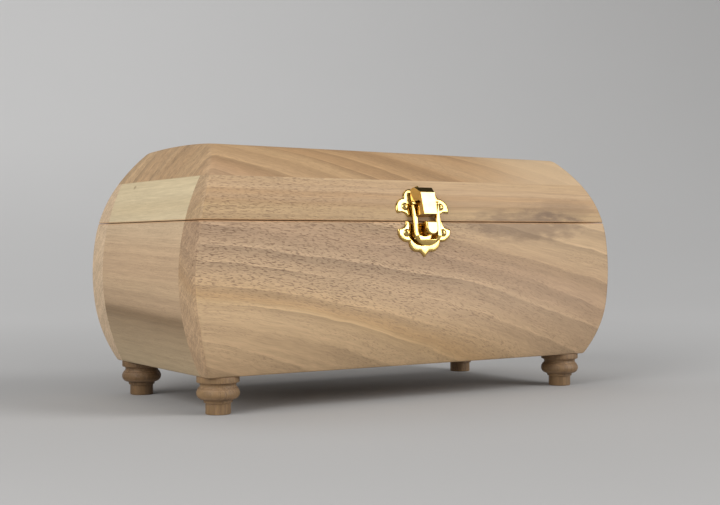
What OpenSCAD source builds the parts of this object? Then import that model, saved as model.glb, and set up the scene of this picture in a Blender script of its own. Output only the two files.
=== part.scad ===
// Hinged keepsake box of solid walnut boards, bulged on all four sides, on four turned feet.
// The lid is held shut by a small brass hasp on the middle of the front.
// The origin is on the floor under the middle of the box. +X is the box's right as seen from
// the front, +Y points to its back and +Z up. Lengths are in millimetres.

/* [Body] */
// Greatest length, across the two bulged ends
body_length = 250; // [244:1:256]
// Greatest depth, across the bulged front and back
body_depth = 127; // [124:1:130]
// Height from the floor to the middle of the slightly domed top
total_height = 126.4; // [124:0.2:130]
// Height of the turned feet
foot_height = 17.7; // [16:0.1:19]
// Height of the seam between the box and the lid
seam_height = 89.4; // [88:0.1:90]
// Open gap at the seam
seam_gap = 0.3; // [0.2:0.05:0.4]
// Thickness of the board that closes the lid
top_board_thickness = 16.4; // [14:0.2:18]
// Radius of the dome of the top, across its depth
crown_radius = 524; // [450:2:600]
// Angle at which the top falls towards the right
top_fall_angle = 0.4; // [0:0.1:0.6]
// Thickness of the board that closes the bottom
bottom_board_thickness = 10; // [8:0.5:12]
// Half the depth of the inside, which is also where the front and back boards start
inner_half_depth = 47.3; // [46:0.1:48]
// Half the length of the inside, where the end boards start
inner_half_length = 108; // [107:0.5:109]

/* [Bulge] */
// Radius of the arc that the two ends follow from floor to top
end_radius = 104; // [102:1:108]
// Height at which the ends are widest
end_middle = 63.5; // [62:0.5:65]
// Radius of the arc above the upright part of the front and back
shoulder_radius = 51; // [50:0.5:52]
// Height at which the shoulder arc starts
shoulder_start = 82; // [81:0.5:83]
// Radius of the arc below the upright part of the front and back
belly_radius = 56; // [55:0.5:58]
// Height at which the belly arc starts
belly_start = 47; // [45:0.5:48]

/* [Feet] */
// Distance of each foot's axis from the middle, along the length
foot_x = 104.5; // [103:0.5:105]
// Distance of each foot's axis from the middle, along the depth
foot_y = 45.5; // [45:0.1:46]
// Radius of the collar under the box
foot_collar_radius = 10; // [9:0.1:10]
// Radius of the foot's rounded bead at its widest
foot_bead_radius = 10.1; // [9.5:0.1:10.5]
// Radius of the straight base that stands on the floor
foot_base_radius = 5.9; // [5:0.1:6.5]
// Radius of the round tenon that is glued into the box
foot_tenon_radius = 3.95; // [3:0.05:4]
// Length of the tenon
foot_tenon_length = 7.8; // [6:0.1:7.8]

/* [Hinges] */
// Distance of each hinge's middle from the middle of the box
hinge_x = 70; // [60:1:80]
// Length of each hinge
hinge_length = 22; // [20:1:24]
// Thickness of a hinge leaf, let into the rim
leaf_thickness = 1; // [0.8:0.1:1.2]
// Radius of the hinge barrel
barrel_radius = 2.5; // [2.4:0.1:2.6]
// Radius of the hinge pin
hinge_pin_radius = 1; // [0.9:0.05:1.1]
// Angle at which the heels of the two leaves meet and stop the lid
lid_stop_angle = 105.5; // [100:0.5:106]

/* [Latch] */
// Thickness of the two stamped plates
plate_thickness = 0.9; // [0.8:0.05:1]
// How far the plate on the lid leans back
lid_plate_lean = 18; // [17.5:0.5:18.5]
// How far the plate on the box leans back
box_plate_lean = 5; // [4.5:0.5:5.5]
// How far the hasp hangs back from upright
hasp_lean = 10; // [9.5:0.25:10.5]
// Half the width of the hasp
hasp_half_width = 8.2; // [8:0.1:8.3]
// Half the width of the hasp's window
window_half_width = 5.5; // [5.4:0.05:5.6]
// Radius of the pin that the hasp swings on
hasp_pin_radius = 0.88; // [0.86:0.01:0.9]
// Height of the hasp's pin above the seam, along the hasp
hasp_pin_up = 8.6; // [8.5:0.1:8.7]
// Distance of the hasp's pin in front of the wood at the seam
hasp_pin_out = 2.5; // [2.45:0.05:2.6]

/* [Hidden] */
$fn = 64;

big = 400;                                   // larger than the whole box, for cutting
arc_fn = 256;                                // facets asked for on the long arcs
lid_floor = total_height - top_board_thickness;
body_limit = total_height + 3;               // above every point of the top
box_rim = seam_height - seam_gap / 2;
lid_rim = seam_height + seam_gap / 2;
inside_floor = foot_height + bottom_board_thickness;

// Feet: heights of the rings of the turned profile
foot_base_top = 5.2;
foot_bead_middle = 9.85;
foot_bead_round = 3.05;
foot_neck_radius = 8.4;
foot_cove_top = foot_height - 3;
foot_cove_bottom = 12.4;
foot_cove_round = 1.5;
tenon_clearance = 0.05;

// Hinges: the barrel stands just clear of the back of the box
back_at_seam = surface_at(seam_height);
hinge_y = back_at_seam + 3.1;
leaf_inner = 51;
leaf_back_clear = hinge_y - barrel_radius - 0.2;
knuckle_gap = 0.15;
lid_knuckle_length = hinge_length * 0.4;
lid_knuckle_play = 0.05;
heel_radius = 3.9;
box_heel_angle = -50;
heel_half_angle = 12;
hinge_screw_x = 7;
hinge_screw_y = 56;
hinge_screw_head = 1.7;
hinge_screw_depth = 0.8;

// Screws of the latch and the hinges
screw_shank = 0.75;
pilot_clearance = 0.03;
screw_length = 8.5;
screw_tip = 1.6;
dome_radius = 2.1;
dome_height = 1.3;

// Latch: everything below is measured along and out from the leaning planes
lid_screw_x = 10.7;
lid_screw_up = -1.3;
box_screw_x = 11;
box_screw_up = -2.7;
hasp_back = 1.5;
hasp_front = 3.4;
window_floor = -9.3;
window_corner = 2;
hasp_belly_radius = 9.5;
hasp_belly_up = -3;
hasp_slope_start = -7.3;
hasp_slope_angle = 18;
arm_inner_at_pin = 7;
arm_taper_low = 1.2;
arm_taper_high = 7;
eye_radius = 1.35;
eye_bore = 0.9;
block_bore = 0.95;
block_low = 2.7;
block_high = 16.8;
block_front_low = 6.9;
block_front_high = 6.1;
block_base_half = 6.2;
block_front_half = 3.9;
block_corner = 2.2;
block_slope_down = 3.2;                      // the sloping edge above the block's face
block_slope_out = 3.6;
block_recess_radius = 1.3;
block_recess_out = 1.6;
block_recess_half = 3.5;
nose_half_width = 3.5;
nose_top = -1.1;
nose_front = 7.5;
nose_round_up = -4.2;
nose_reach = 17.3;

// Half the depth of the body at a height z
function surface_at(z) =
    z > shoulder_start
        ? body_depth / 2 - shoulder_radius + sqrt(pow(shoulder_radius, 2) - pow(z - shoulder_start, 2))
        : body_depth / 2;

// ---- shape shared by all the boards ----

// Outline of the body seen from the front
module end_profile() {
    intersection() {
        union() for (side = [-1, 1])
            translate([side * (body_length / 2 - end_radius), end_middle])
                circle(r = end_radius, $fn = arc_fn);
        translate([-big / 2, foot_height]) square([big, body_limit - foot_height]);
    }
}

// Outline of the body seen from the left end
module side_profile() {
    intersection() {
        union() {
            for (side = [-1, 1]) {
                translate([side * (body_depth / 2 - shoulder_radius), shoulder_start])
                    circle(r = shoulder_radius, $fn = arc_fn);
                translate([side * (body_depth / 2 - belly_radius), belly_start])
                    circle(r = belly_radius, $fn = arc_fn);
            }
            translate([-body_depth / 2, belly_start])
                square([body_depth, shoulder_start - belly_start]);
        }
        translate([-big / 2, foot_height]) square([big, body_limit - foot_height]);
    }
}

// The whole bulged body as one solid
module bulged_body() {
    intersection() {
        translate([0, big / 2, 0]) rotate([90, 0, 0]) linear_extrude(big) end_profile();
        translate([-big / 2, 0, 0]) rotate([90, 0, 90]) linear_extrude(big) side_profile();
    }
}

// A block between two heights, from one x and y to another
module slab(x0, x1, y0, y1, z0, z1) {
    translate([x0, y0, z0]) cube([x1 - x0, y1 - y0, z1 - z0]);
}

// The long board of a wall: side is -1 for the front and 1 for the back
module long_board(side, z0, z1) {
    intersection() {
        bulged_body();
        slab(-big / 2, big / 2,
            side > 0 ? inner_half_depth : -big / 2, side > 0 ? big / 2 : -inner_half_depth, z0, z1);
    }
}

// The short board of a wall: side is -1 for the left end and 1 for the right end
module end_board(side, z0, z1) {
    intersection() {
        bulged_body();
        slab(side > 0 ? inner_half_length : -big / 2, side > 0 ? big / 2 : -inner_half_length,
            -inner_half_depth, inner_half_depth, z0, z1);
    }
}

// ---- feet ----

module foot_profile() {
    difference() {
        union() {
            square([foot_base_radius, foot_base_top]);
            translate([0, foot_base_top]) square([foot_base_radius + 0.8, foot_bead_middle - foot_base_top]);
            translate([0, foot_bead_middle - foot_bead_round])
                square([foot_bead_radius - foot_bead_round, 2 * foot_bead_round]);
            translate([foot_bead_radius - foot_bead_round, foot_bead_middle]) circle(r = foot_bead_round);
            translate([0, foot_bead_middle]) square([foot_neck_radius + 0.9, foot_cove_top - foot_bead_middle]);
            translate([0, foot_cove_top]) square([foot_collar_radius, foot_height - foot_cove_top]);
            translate([0, foot_height]) square([foot_tenon_radius, foot_tenon_length]);
        }
        translate([foot_neck_radius + foot_cove_round, (foot_cove_top + foot_cove_bottom) / 2])
            circle(r = foot_cove_round);
    }
}

module foot(x, y) {
    color("sienna") translate([x, y, 0]) rotate_extrude() foot_profile();
}

// The four blind holes for the feet's tenons
module tenon_holes() {
    for (x = [-foot_x, foot_x], y = [-foot_y, foot_y])
        translate([x, y, foot_height - 1])
            cylinder(r = foot_tenon_radius + tenon_clearance, h = foot_tenon_length + 1.2);
}

module foot_front_left() { foot(-foot_x, -foot_y); }
module foot_front_right() { foot(foot_x, -foot_y); }
module foot_back_left() { foot(-foot_x, foot_y); }
module foot_back_right() { foot(foot_x, foot_y); }

// ---- screws ----

// Shank and point of a wood screw, pointing along -Z from z = 0
module shank(radius = screw_shank, length = screw_length) {
    translate([0, 0, -length + screw_tip]) cylinder(r = radius, h = length - screw_tip);
    translate([0, 0, -length]) cylinder(r1 = 0.1, r2 = radius, h = screw_tip);
}

// Round-headed screw: the head's flat underside is at z = 0
module dome_screw() {
    sphere_radius = (pow(dome_radius, 2) + pow(dome_height, 2)) / (2 * dome_height);
    rotate_extrude() intersection() {
        translate([0, dome_height - sphere_radius]) circle(r = sphere_radius);
        square([dome_radius, dome_height]);
    }
    shank();
}

// Flat-headed screw: the head's top is at z = 0
module flat_screw() {
    translate([0, 0, -hinge_screw_depth])
        cylinder(r1 = screw_shank, r2 = hinge_screw_head, h = hinge_screw_depth);
    translate([0, 0, -hinge_screw_depth]) shank(length = screw_length - hinge_screw_depth);
}

module pilot_hole() {
    translate([0, 0, -screw_length - 0.2])
        cylinder(r = screw_shank + pilot_clearance, h = screw_length + 3);
}

// ---- hinges ----

// Puts its children at each screw of the hinge in the middle of the children's frame
module at_hinge_screws() {
    for (x = [-hinge_screw_x, hinge_screw_x]) translate([x, hinge_screw_y, 0]) children();
}

module at_both_hinges() {
    for (x = [-hinge_x, hinge_x]) translate([x, 0, 0]) children();
}

// Part of the barrel from x0 to x1
module knuckle(x0, x1, bore) {
    translate([x0, hinge_y, seam_height]) rotate([0, 90, 0]) difference() {
        cylinder(r = barrel_radius, h = x1 - x0);
        translate([0, 0, -1]) cylinder(r = bore, h = x1 - x0 + 2);
    }
}

// Wedge behind the barrel, centred on an angle above the horizontal, from x0 to x1
module heel(x0, x1, angle, inner_radius) {
    reach = 2 * heel_radius;
    translate([x0, hinge_y, seam_height]) rotate([90, 0, 90]) linear_extrude(x1 - x0)
        rotate(angle) intersection() {
            difference() {
                circle(r = heel_radius);
                circle(r = inner_radius);
            }
            polygon([[0, 0], [reach, -reach * tan(heel_half_angle)], [reach, reach * tan(heel_half_angle)]]);
        }
}

// Countersunk screw holes in a leaf whose face is at z = 0, with the wood below it
module leaf_holes() {
    at_hinge_screws() {
        translate([0, 0, -hinge_screw_depth])
            cylinder(r1 = screw_shank + pilot_clearance, r2 = hinge_screw_head + pilot_clearance,
                h = hinge_screw_depth + 0.001);
        translate([0, 0, -2]) cylinder(r = screw_shank + pilot_clearance, h = 2);
    }
}

// The leaf let into the rim of the box, with the two outer knuckles
module box_leaf() {
    half = hinge_length / 2;
    knuckle_end = lid_knuckle_length / 2 + knuckle_gap;
    difference() {
        union() {
            slab(-half, half, leaf_inner, leaf_back_clear, box_rim - leaf_thickness, box_rim);
            for (side = [0, 1]) mirror([side, 0, 0]) {
                slab(knuckle_end, half, leaf_back_clear - 1, hinge_y - hinge_pin_radius - 0.5,
                    box_rim - leaf_thickness, box_rim);
                knuckle(knuckle_end, half, hinge_pin_radius + 0.02);
            }
            for (side = [0, 1]) mirror([side, 0, 0])
                heel(knuckle_end, half, box_heel_angle, barrel_radius - 0.5);
            heel(-knuckle_end, knuckle_end, box_heel_angle, barrel_radius + 0.15);
        }
        translate([0, 0, box_rim]) leaf_holes();
    }
}

// The leaf let into the rim of the lid, with the middle knuckle
module lid_leaf() {
    half = hinge_length / 2;
    knuckle_end = lid_knuckle_length / 2;
    lid_heel_angle = box_heel_angle + 2 * heel_half_angle + lid_stop_angle;
    difference() {
        union() {
            slab(-half, half, leaf_inner, leaf_back_clear, lid_rim, lid_rim + leaf_thickness);
            slab(-knuckle_end, knuckle_end, leaf_back_clear - 1, hinge_y - hinge_pin_radius - 0.5,
                lid_rim, lid_rim + leaf_thickness);
            knuckle(-knuckle_end, knuckle_end, hinge_pin_radius + lid_knuckle_play);
            heel(-knuckle_end, knuckle_end, lid_heel_angle, barrel_radius - 0.5);
        }
        translate([0, 0, lid_rim]) mirror([0, 0, 1]) leaf_holes();
    }
}

module hinge_pin(x) {
    color("goldenrod") translate([x - hinge_length / 2, hinge_y, seam_height]) rotate([0, 90, 0])
        cylinder(r = hinge_pin_radius, h = hinge_length);
}

module left_hinge_box_leaf() { color("gold") translate([-hinge_x, 0, 0]) box_leaf(); }
module right_hinge_box_leaf() { color("gold") translate([hinge_x, 0, 0]) box_leaf(); }
module left_hinge_lid_leaf() { color("gold") translate([-hinge_x, 0, 0]) lid_leaf(); }
module right_hinge_lid_leaf() { color("gold") translate([hinge_x, 0, 0]) lid_leaf(); }
module left_hinge_pin() { hinge_pin(-hinge_x); }
module right_hinge_pin() { hinge_pin(hinge_x); }

module hinge_box_screws() {
    color("goldenrod") translate([0, 0, box_rim]) at_both_hinges() at_hinge_screws() flat_screw();
}

module hinge_lid_screws() {
    color("goldenrod") translate([0, 0, lid_rim]) mirror([0, 0, 1])
        at_both_hinges() at_hinge_screws() flat_screw();
}

// Mortises and pilot holes in the back board of the box
module box_hinge_cuts() {
    at_both_hinges() slab(-hinge_length / 2, hinge_length / 2, leaf_inner, big / 2,
        box_rim - leaf_thickness, box_rim + 1);
    translate([0, 0, box_rim]) at_both_hinges() at_hinge_screws() pilot_hole();
}

// Mortises and pilot holes in the back board of the lid
module lid_hinge_cuts() {
    at_both_hinges() slab(-hinge_length / 2, hinge_length / 2, leaf_inner, big / 2,
        lid_rim - 1, lid_rim + leaf_thickness);
    translate([0, 0, lid_rim]) mirror([0, 0, 1]) at_both_hinges() at_hinge_screws() pilot_hole();
}

// ---- frames of the latch ----

// In each leaning frame -Y points out of the box and Z runs up along the lean.

// A plane that touches the shoulder arc of the front where the wood leans back by this angle
module on_front(lean) {
    translate([0, -(body_depth / 2 - shoulder_radius + shoulder_radius * cos(lean)),
            shoulder_start + shoulder_radius * sin(lean)])
        rotate([-lean, 0, 0]) children();
}

// The plane in which the hasp hangs, through the wood's surface at the seam
module on_hasp_plane() {
    translate([0, -surface_at(seam_height), seam_height]) rotate([-hasp_lean, 0, 0]) children();
}

// Turns an outline drawn in X and Y into a plate standing on the frame's plane
module plate(from, to) {
    translate([0, -from, 0]) rotate([90, 0, 0]) linear_extrude(to - from) children();
}

// Screws whose heads rest on a plate: the children point into the wood
module at_plate_screws(x, up) {
    for (side = [-1, 1]) translate([side * x, -plate_thickness, up]) rotate([90, 0, 0]) children();
}

module lid_plate_screw_holes() {
    on_front(lid_plate_lean) at_plate_screws(lid_screw_x, lid_screw_up) pilot_hole();
}

module box_plate_screw_holes() {
    on_front(box_plate_lean) at_plate_screws(box_screw_x, box_screw_up) pilot_hole();
}

// ---- latch ----

// Crown-shaped plate: two shoulders, two ears and a small finial
module lid_plate_outline() {
    difference() {
        union() {
            for (side = [-1, 1]) {
                translate([side * 5.2, 3.1]) circle(r = 5.3);
                translate([side * 10.3, -2.3]) circle(r = 5.6);
            }
            translate([-9.8, -6.2]) square([19.6, 9]);
            translate([-2.6, 3]) square([5.2, 4.6]);
            polygon([[-3.2, 7], [3.2, 7], [0, 10.1]]);
            translate([0, 9.4]) circle(r = 1);
        }
        for (side = [-1, 1]) translate([side * 13.1, -7.6]) circle(r = 3.6);
        translate([-20, -12.2]) square([40, 6]);
    }
}

// Shield-shaped plate: two eared sides, two lower lobes and a point
module box_plate_outline() {
    difference() {
        union() {
            for (side = [-1, 1]) {
                translate([side * 10.7, -1.9]) circle(r = 5.2);
                translate([side * 4.6, -7.2]) circle(r = 4.8);
            }
            translate([-10.7, -6]) square([21.4, 8.4]);
            translate([-4.6, -11]) square([9.2, 6]);
            polygon([[-3.4, -11.2], [-0.7, -14], [0.7, -14], [3.4, -11.2]]);
            translate([0, -13.9]) circle(r = 1);
        }
        for (side = [-1, 1]) translate([side * 15, 3.3]) circle(r = 4);
        translate([-9, 1.8]) square([18, 5]);
    }
}

module latch_lid_plate() {
    color("gold") difference() {
        on_front(lid_plate_lean) plate(0, plate_thickness) lid_plate_outline();
        lid_plate_screw_holes();
    }
}

module latch_box_plate() {
    color("gold") difference() {
        on_front(box_plate_lean) plate(0, plate_thickness) box_plate_outline();
        box_plate_screw_holes();
    }
}

module latch_lid_screws() {
    color("goldenrod") on_front(lid_plate_lean) at_plate_screws(lid_screw_x, lid_screw_up) dome_screw();
}

module latch_box_screws() {
    color("goldenrod") on_front(box_plate_lean) at_plate_screws(box_screw_x, box_screw_up) dome_screw();
}

// A cylinder along X on the hasp's pivot axis, in the hasp's frame
module on_pivot_axis(radius, x0, x1, out = 0) {
    translate([x0, -hasp_pin_out - out, hasp_pin_up]) rotate([0, 90, 0]) cylinder(r = radius, h = x1 - x0);
}

// The hasp's block: narrower at its face, with its upper back corner rounded
module block_body() {
    intersection() {
        translate([-big / 2, 0, 0]) rotate([90, 0, 90]) linear_extrude(big) difference() {
            polygon([[2, block_low], [2, block_high], [block_slope_out - block_front_high, block_high],
                [-block_front_high, block_high - block_slope_down], [-block_front_low, block_low]]);
            translate([-block_corner, block_high - block_corner]) difference() {
                square([big, block_corner + 1]);
                circle(r = block_corner);
            }
        }
        translate([0, 0, -big / 2]) linear_extrude(big)
            polygon([[-block_base_half, 0], [-block_front_half, -block_front_low],
                [block_front_half, -block_front_low], [block_base_half, 0]]);
    }
}

module latch_block() {
    color("gold") difference() {
        on_hasp_plane() difference() {
            block_body();
            on_pivot_axis(block_bore, -big / 2, big / 2);
            for (side = [0, 1]) mirror([side, 0, 0]) {
                on_pivot_axis(block_recess_radius, block_recess_half, big);
                on_pivot_axis(block_recess_radius, block_recess_half, big, block_recess_out);
                translate([block_recess_half, -hasp_pin_out - block_recess_out,
                    hasp_pin_up - block_recess_radius])
                    cube([big, block_recess_out, 2 * block_recess_radius]);
            }
        }
        on_front(lid_plate_lean) plate(-big, plate_thickness) square(big, center = true);
    }
}

// The hook on the box that the hasp's window passes over
module latch_nose() {
    color("gold") difference() {
        on_hasp_plane() intersection() {
            plate(-1, nose_front) intersection() {
                union() {
                    translate([-nose_half_width, nose_round_up])
                        square([2 * nose_half_width, nose_top - nose_round_up]);
                    translate([0, nose_round_up]) circle(r = nose_half_width);
                }
                translate([-big / 2, nose_top - big]) square(big);
            }
            on_pivot_axis(nose_reach, -nose_half_width - 1, nose_half_width + 1);
        }
        on_front(box_plate_lean) plate(-big, plate_thickness) square(big, center = true);
    }
}

// Outline of the stirrup-shaped hasp
module hasp_outline() {
    window_width = 2 * window_half_width;
    difference() {
        intersection() {
            union() {
                translate([0, hasp_belly_up]) circle(r = hasp_belly_radius, $fn = 96);
                translate([-hasp_half_width, hasp_belly_up])
                    square([2 * hasp_half_width, hasp_pin_up - hasp_belly_up]);
            }
            translate([-hasp_half_width, -big / 2])
                square([2 * hasp_half_width, big / 2 + hasp_pin_up]);
        }
        translate([-window_half_width, window_floor + window_corner]) square([window_width, big]);
        translate([-window_half_width + window_corner, window_floor])
            square([window_width - 2 * window_corner, big]);
        for (side = [-1, 1])
            translate([side * (window_half_width - window_corner), window_floor + window_corner])
                circle(r = window_corner);
        polygon([[-window_half_width, arm_taper_low], [window_half_width, arm_taper_low],
            [arm_inner_at_pin, arm_taper_high], [arm_inner_at_pin, big],
            [-arm_inner_at_pin, big], [-arm_inner_at_pin, arm_taper_high]]);
    }
}

module latch_hasp() {
    color("gold") on_hasp_plane() difference() {
        union() {
            plate(hasp_back, hasp_front) hasp_outline();
            on_pivot_axis(eye_radius, -hasp_half_width, -arm_inner_at_pin);
            on_pivot_axis(eye_radius, arm_inner_at_pin, hasp_half_width);
        }
        on_pivot_axis(eye_bore, -big / 2, big / 2);
        translate([0, -hasp_front, hasp_slope_start]) rotate([hasp_slope_angle, 0, 0])
            translate([-big / 2, -big, -big]) cube([big, big, big]);
    }
}

module latch_hasp_pin() {
    color("goldenrod") on_hasp_plane() on_pivot_axis(hasp_pin_radius, -hasp_half_width, hasp_half_width);
}

// ---- boards ----

module box_front_board() {
    color("burlywood") difference() {
        long_board(-1, foot_height, box_rim);
        tenon_holes();
        box_plate_screw_holes();
    }
}

module box_back_board() {
    color("burlywood") difference() {
        long_board(1, foot_height, box_rim);
        tenon_holes();
        box_hinge_cuts();
    }
}

module box_left_end() {
    color("wheat") difference() {
        end_board(-1, foot_height, box_rim);
        tenon_holes();
    }
}

module box_right_end() {
    color("wheat") difference() {
        end_board(1, foot_height, box_rim);
        tenon_holes();
    }
}

module bottom_board() {
    color("tan") difference() {
        slab(-inner_half_length, inner_half_length, -inner_half_depth, inner_half_depth,
            foot_height, inside_floor);
        tenon_holes();
    }
}

module lid_front_board() {
    color("burlywood") difference() {
        long_board(-1, lid_rim, lid_floor);
        lid_plate_screw_holes();
    }
}

module lid_back_board() {
    color("burlywood") difference() {
        long_board(1, lid_rim, lid_floor);
        lid_hinge_cuts();
    }
}

module lid_left_end() { color("wheat") end_board(-1, lid_rim, lid_floor); }
module lid_right_end() { color("wheat") end_board(1, lid_rim, lid_floor); }

// The dome that bounds the top, as a very wide cylinder along X
module crown() {
    translate([0, 0, total_height]) rotate([0, top_fall_angle, 0]) translate([-big / 2, 0, -crown_radius])
        rotate([0, 90, 0]) cylinder(r = crown_radius, h = big, $fn = 2 * arc_fn);
}

module lid_top_board() {
    color("peru") intersection() {
        bulged_body();
        crown();
        slab(-big / 2, big / 2, -big / 2, big / 2, lid_floor, body_limit);
    }
}

box_front_board();
box_back_board();
box_left_end();
box_right_end();
bottom_board();
foot_front_left();
foot_front_right();
foot_back_left();
foot_back_right();
left_hinge_box_leaf();
right_hinge_box_leaf();
left_hinge_pin();
right_hinge_pin();
hinge_box_screws();
latch_box_plate();
latch_nose();
latch_box_screws();
lid_front_board();
lid_back_board();
lid_left_end();
lid_right_end();
lid_top_board();
left_hinge_lid_leaf();
right_hinge_lid_leaf();
hinge_lid_screws();
latch_lid_plate();
latch_block();
latch_lid_screws();
latch_hasp();
latch_hasp_pin();
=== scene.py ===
"""Keepsake box of bare walnut with a brass hasp: the looks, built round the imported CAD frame.

Lengths are in millimetres, in the frame of the CAD part, until new_piece() turns them into metres.
"""
import math

import bmesh
import bpy
from mathutils import Matrix, Vector


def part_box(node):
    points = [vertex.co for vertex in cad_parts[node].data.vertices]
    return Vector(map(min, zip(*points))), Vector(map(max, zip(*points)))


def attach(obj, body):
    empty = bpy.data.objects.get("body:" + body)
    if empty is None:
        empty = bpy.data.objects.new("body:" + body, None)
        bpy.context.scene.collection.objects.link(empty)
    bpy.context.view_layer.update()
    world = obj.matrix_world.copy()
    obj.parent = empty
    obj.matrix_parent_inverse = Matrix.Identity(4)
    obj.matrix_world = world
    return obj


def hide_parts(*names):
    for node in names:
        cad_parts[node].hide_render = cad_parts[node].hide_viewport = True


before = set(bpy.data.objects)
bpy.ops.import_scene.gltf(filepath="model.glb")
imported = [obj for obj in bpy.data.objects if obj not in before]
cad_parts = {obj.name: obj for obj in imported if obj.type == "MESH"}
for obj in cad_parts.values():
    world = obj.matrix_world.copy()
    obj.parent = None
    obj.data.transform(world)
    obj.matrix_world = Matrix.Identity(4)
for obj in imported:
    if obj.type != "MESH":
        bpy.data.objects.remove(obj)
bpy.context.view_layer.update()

MM = 0.001


def corners(node):
    """Lowest and highest corner of a CAD node, in millimetres."""
    low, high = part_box(node)
    return low / MM, high / MM


# ---- sizes that the frame gives ----

HALF_LENGTH = -corners("box_left_end")[0].x
HALF_DEPTH = -corners("box_front_board")[0].y
INNER_LENGTH = -corners("box_left_end")[1].x
INNER_DEPTH = -corners("box_front_board")[1].y
FOOT_HEIGHT = corners("box_front_board")[0].z
BOX_RIM = corners("box_front_board")[1].z
LID_RIM = corners("lid_front_board")[0].z
LID_FLOOR = corners("lid_top_board")[0].z
SEAM = (BOX_RIM + LID_RIM) / 2

# ---- arcs of the bulged body, as in the CAD ----

END_RADIUS = 104
END_MIDDLE = 63.5
SHOULDER_RADIUS = 51
SHOULDER_START = 82
BELLY_RADIUS = 56
BELLY_START = 47
CROWN_RADIUS = 524
TOP_MIDDLE = 126.4
TOP_FALL = math.radians(0.4)

# ---- soft edges of the boards ----

CORNER_RADIUS = 2.0
TOP_CORNER_RADIUS = 4.2
CORNER_GROWS_FROM = 100
CORNER_GROWS_OVER = 24
CORNER_STEPS = 6
END_POINTS = 12
RIM_EASE = 0.45
TOP_EASE = 1.1
BOTTOM_EASE = 0.7
EASE_STEPS = 4
LEVEL_STEP = 1.5

# ---- latch, in the leaning planes of the CAD ----

LID_PLATE_LEAN = math.radians(18)
BOX_PLATE_LEAN = math.radians(5)
HASP_LEAN = math.radians(10)
PLATE_THICKNESS = 0.9
PLATE_EDGE = 0.05
PLATE_ROLL = 0.9
LID_SCREW = (10.7, -1.3)
BOX_SCREW = (11, -2.7)
DOME_RADIUS = 2.1
DOME_HEIGHT = 1.3
HASP_PIN_UP = 8.6
HASP_PIN_OUT = 2.5
NOSE_HALF = 3.5
NOSE_TOP = -1.1
NOSE_ROUND = -4.2
NOSE_BACK = 0.2
NOSE_FRONT = 7.5
NOSE_REACH = 17.3
NOSE_ROLL = 0.8


def half_length_at(z):
    """Half the length of the body at a height."""
    return HALF_LENGTH - END_RADIUS + math.sqrt(END_RADIUS ** 2 - (z - END_MIDDLE) ** 2)


def half_depth_at(z):
    """Half the depth of the body at a height."""
    if z > SHOULDER_START:
        radius, above = SHOULDER_RADIUS, z - SHOULDER_START
    else:
        radius, above = BELLY_RADIUS, min(z - BELLY_START, 0)
    return HALF_DEPTH - radius + math.sqrt(radius ** 2 - above ** 2)


def corner_radius(z):
    """Radius of the body's upright corners, which are sanded rounder towards the top."""
    share = min(max((z - CORNER_GROWS_FROM) / CORNER_GROWS_OVER, 0), 1)
    return CORNER_RADIUS + (TOP_CORNER_RADIUS - CORNER_RADIUS) * share * share * (3 - 2 * share)


# ---- meshes ----

def new_piece(name, bm, body, slot, material, *nodes, sharp=35):
    """Makes a piece from a mesh in millimetres, rides it on a body and hides the CAD nodes that it
    stands for.
    """
    bmesh.ops.recalc_face_normals(bm, faces=bm.faces)
    bmesh.ops.scale(bm, vec=(MM, MM, MM), verts=bm.verts)
    mesh = bpy.data.meshes.new(name)
    bm.to_mesh(mesh)
    bm.free()
    mesh.materials.append(material)
    mesh.shade_smooth()
    mesh.set_sharp_from_angle(angle=math.radians(sharp))
    piece = bpy.data.objects.new(name, mesh)
    bpy.context.scene.collection.objects.link(piece)
    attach(piece, body)
    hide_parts(*nodes)


def loft(sections, bottom=None, top=None):
    """Closed mesh through sections, which are rings with the same number of points.
    Each end is one flat face, or a fan to a point where one is given."""
    bm = bmesh.new()
    rings = [[bm.verts.new(point) for point in section] for section in sections]
    for low, high in zip(rings, rings[1:]):
        for i in range(len(low)):
            j = (i + 1) % len(low)
            bm.faces.new((low[i], low[j], high[j], high[i]))
    for ring, point in ((rings[0][::-1], bottom), (rings[-1], top)):
        if point is None:
            bm.faces.new(ring)
        else:
            tip = bm.verts.new(point)
            for i in range(len(ring)):
                bm.faces.new((ring[i], ring[(i + 1) % len(ring)], tip))
    return bm


def arc(x, y, radius, start, end, steps):
    """Points of an arc about (x, y), with its angles in degrees."""
    angles = [math.radians(start + (end - start) * k / steps) for k in range(steps + 1)]
    return [(x + radius * math.cos(a), y + radius * math.sin(a)) for a in angles]


def lathe(profile, segments=96):
    """Turned mesh about the Z axis from (radius, height) points that start on the axis. It is
    closed where they end on the axis too."""
    bm = bmesh.new()
    rings = []
    for radius, z in profile:
        count = segments if radius > 0 else 1
        turns = [2 * math.pi * k / segments for k in range(count)]
        rings.append([bm.verts.new((radius * math.cos(t), radius * math.sin(t), z)) for t in turns])
    for low, high in zip(rings, rings[1:]):
        for i in range(segments):
            j = (i + 1) % segments
            around = [low[i % len(low)], low[j % len(low)], high[j % len(high)], high[i % len(high)]]
            bm.faces.new(list(dict.fromkeys(around)))
    return bm


def box_mesh(low, high):
    """Box between two corners, used only to cut other meshes."""
    bm = bmesh.new()
    bmesh.ops.create_cube(bm, size=1)
    for vert in bm.verts:
        vert.co = Vector([low[k] if vert.co[k] < 0 else high[k] for k in range(3)])
    return bm


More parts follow.
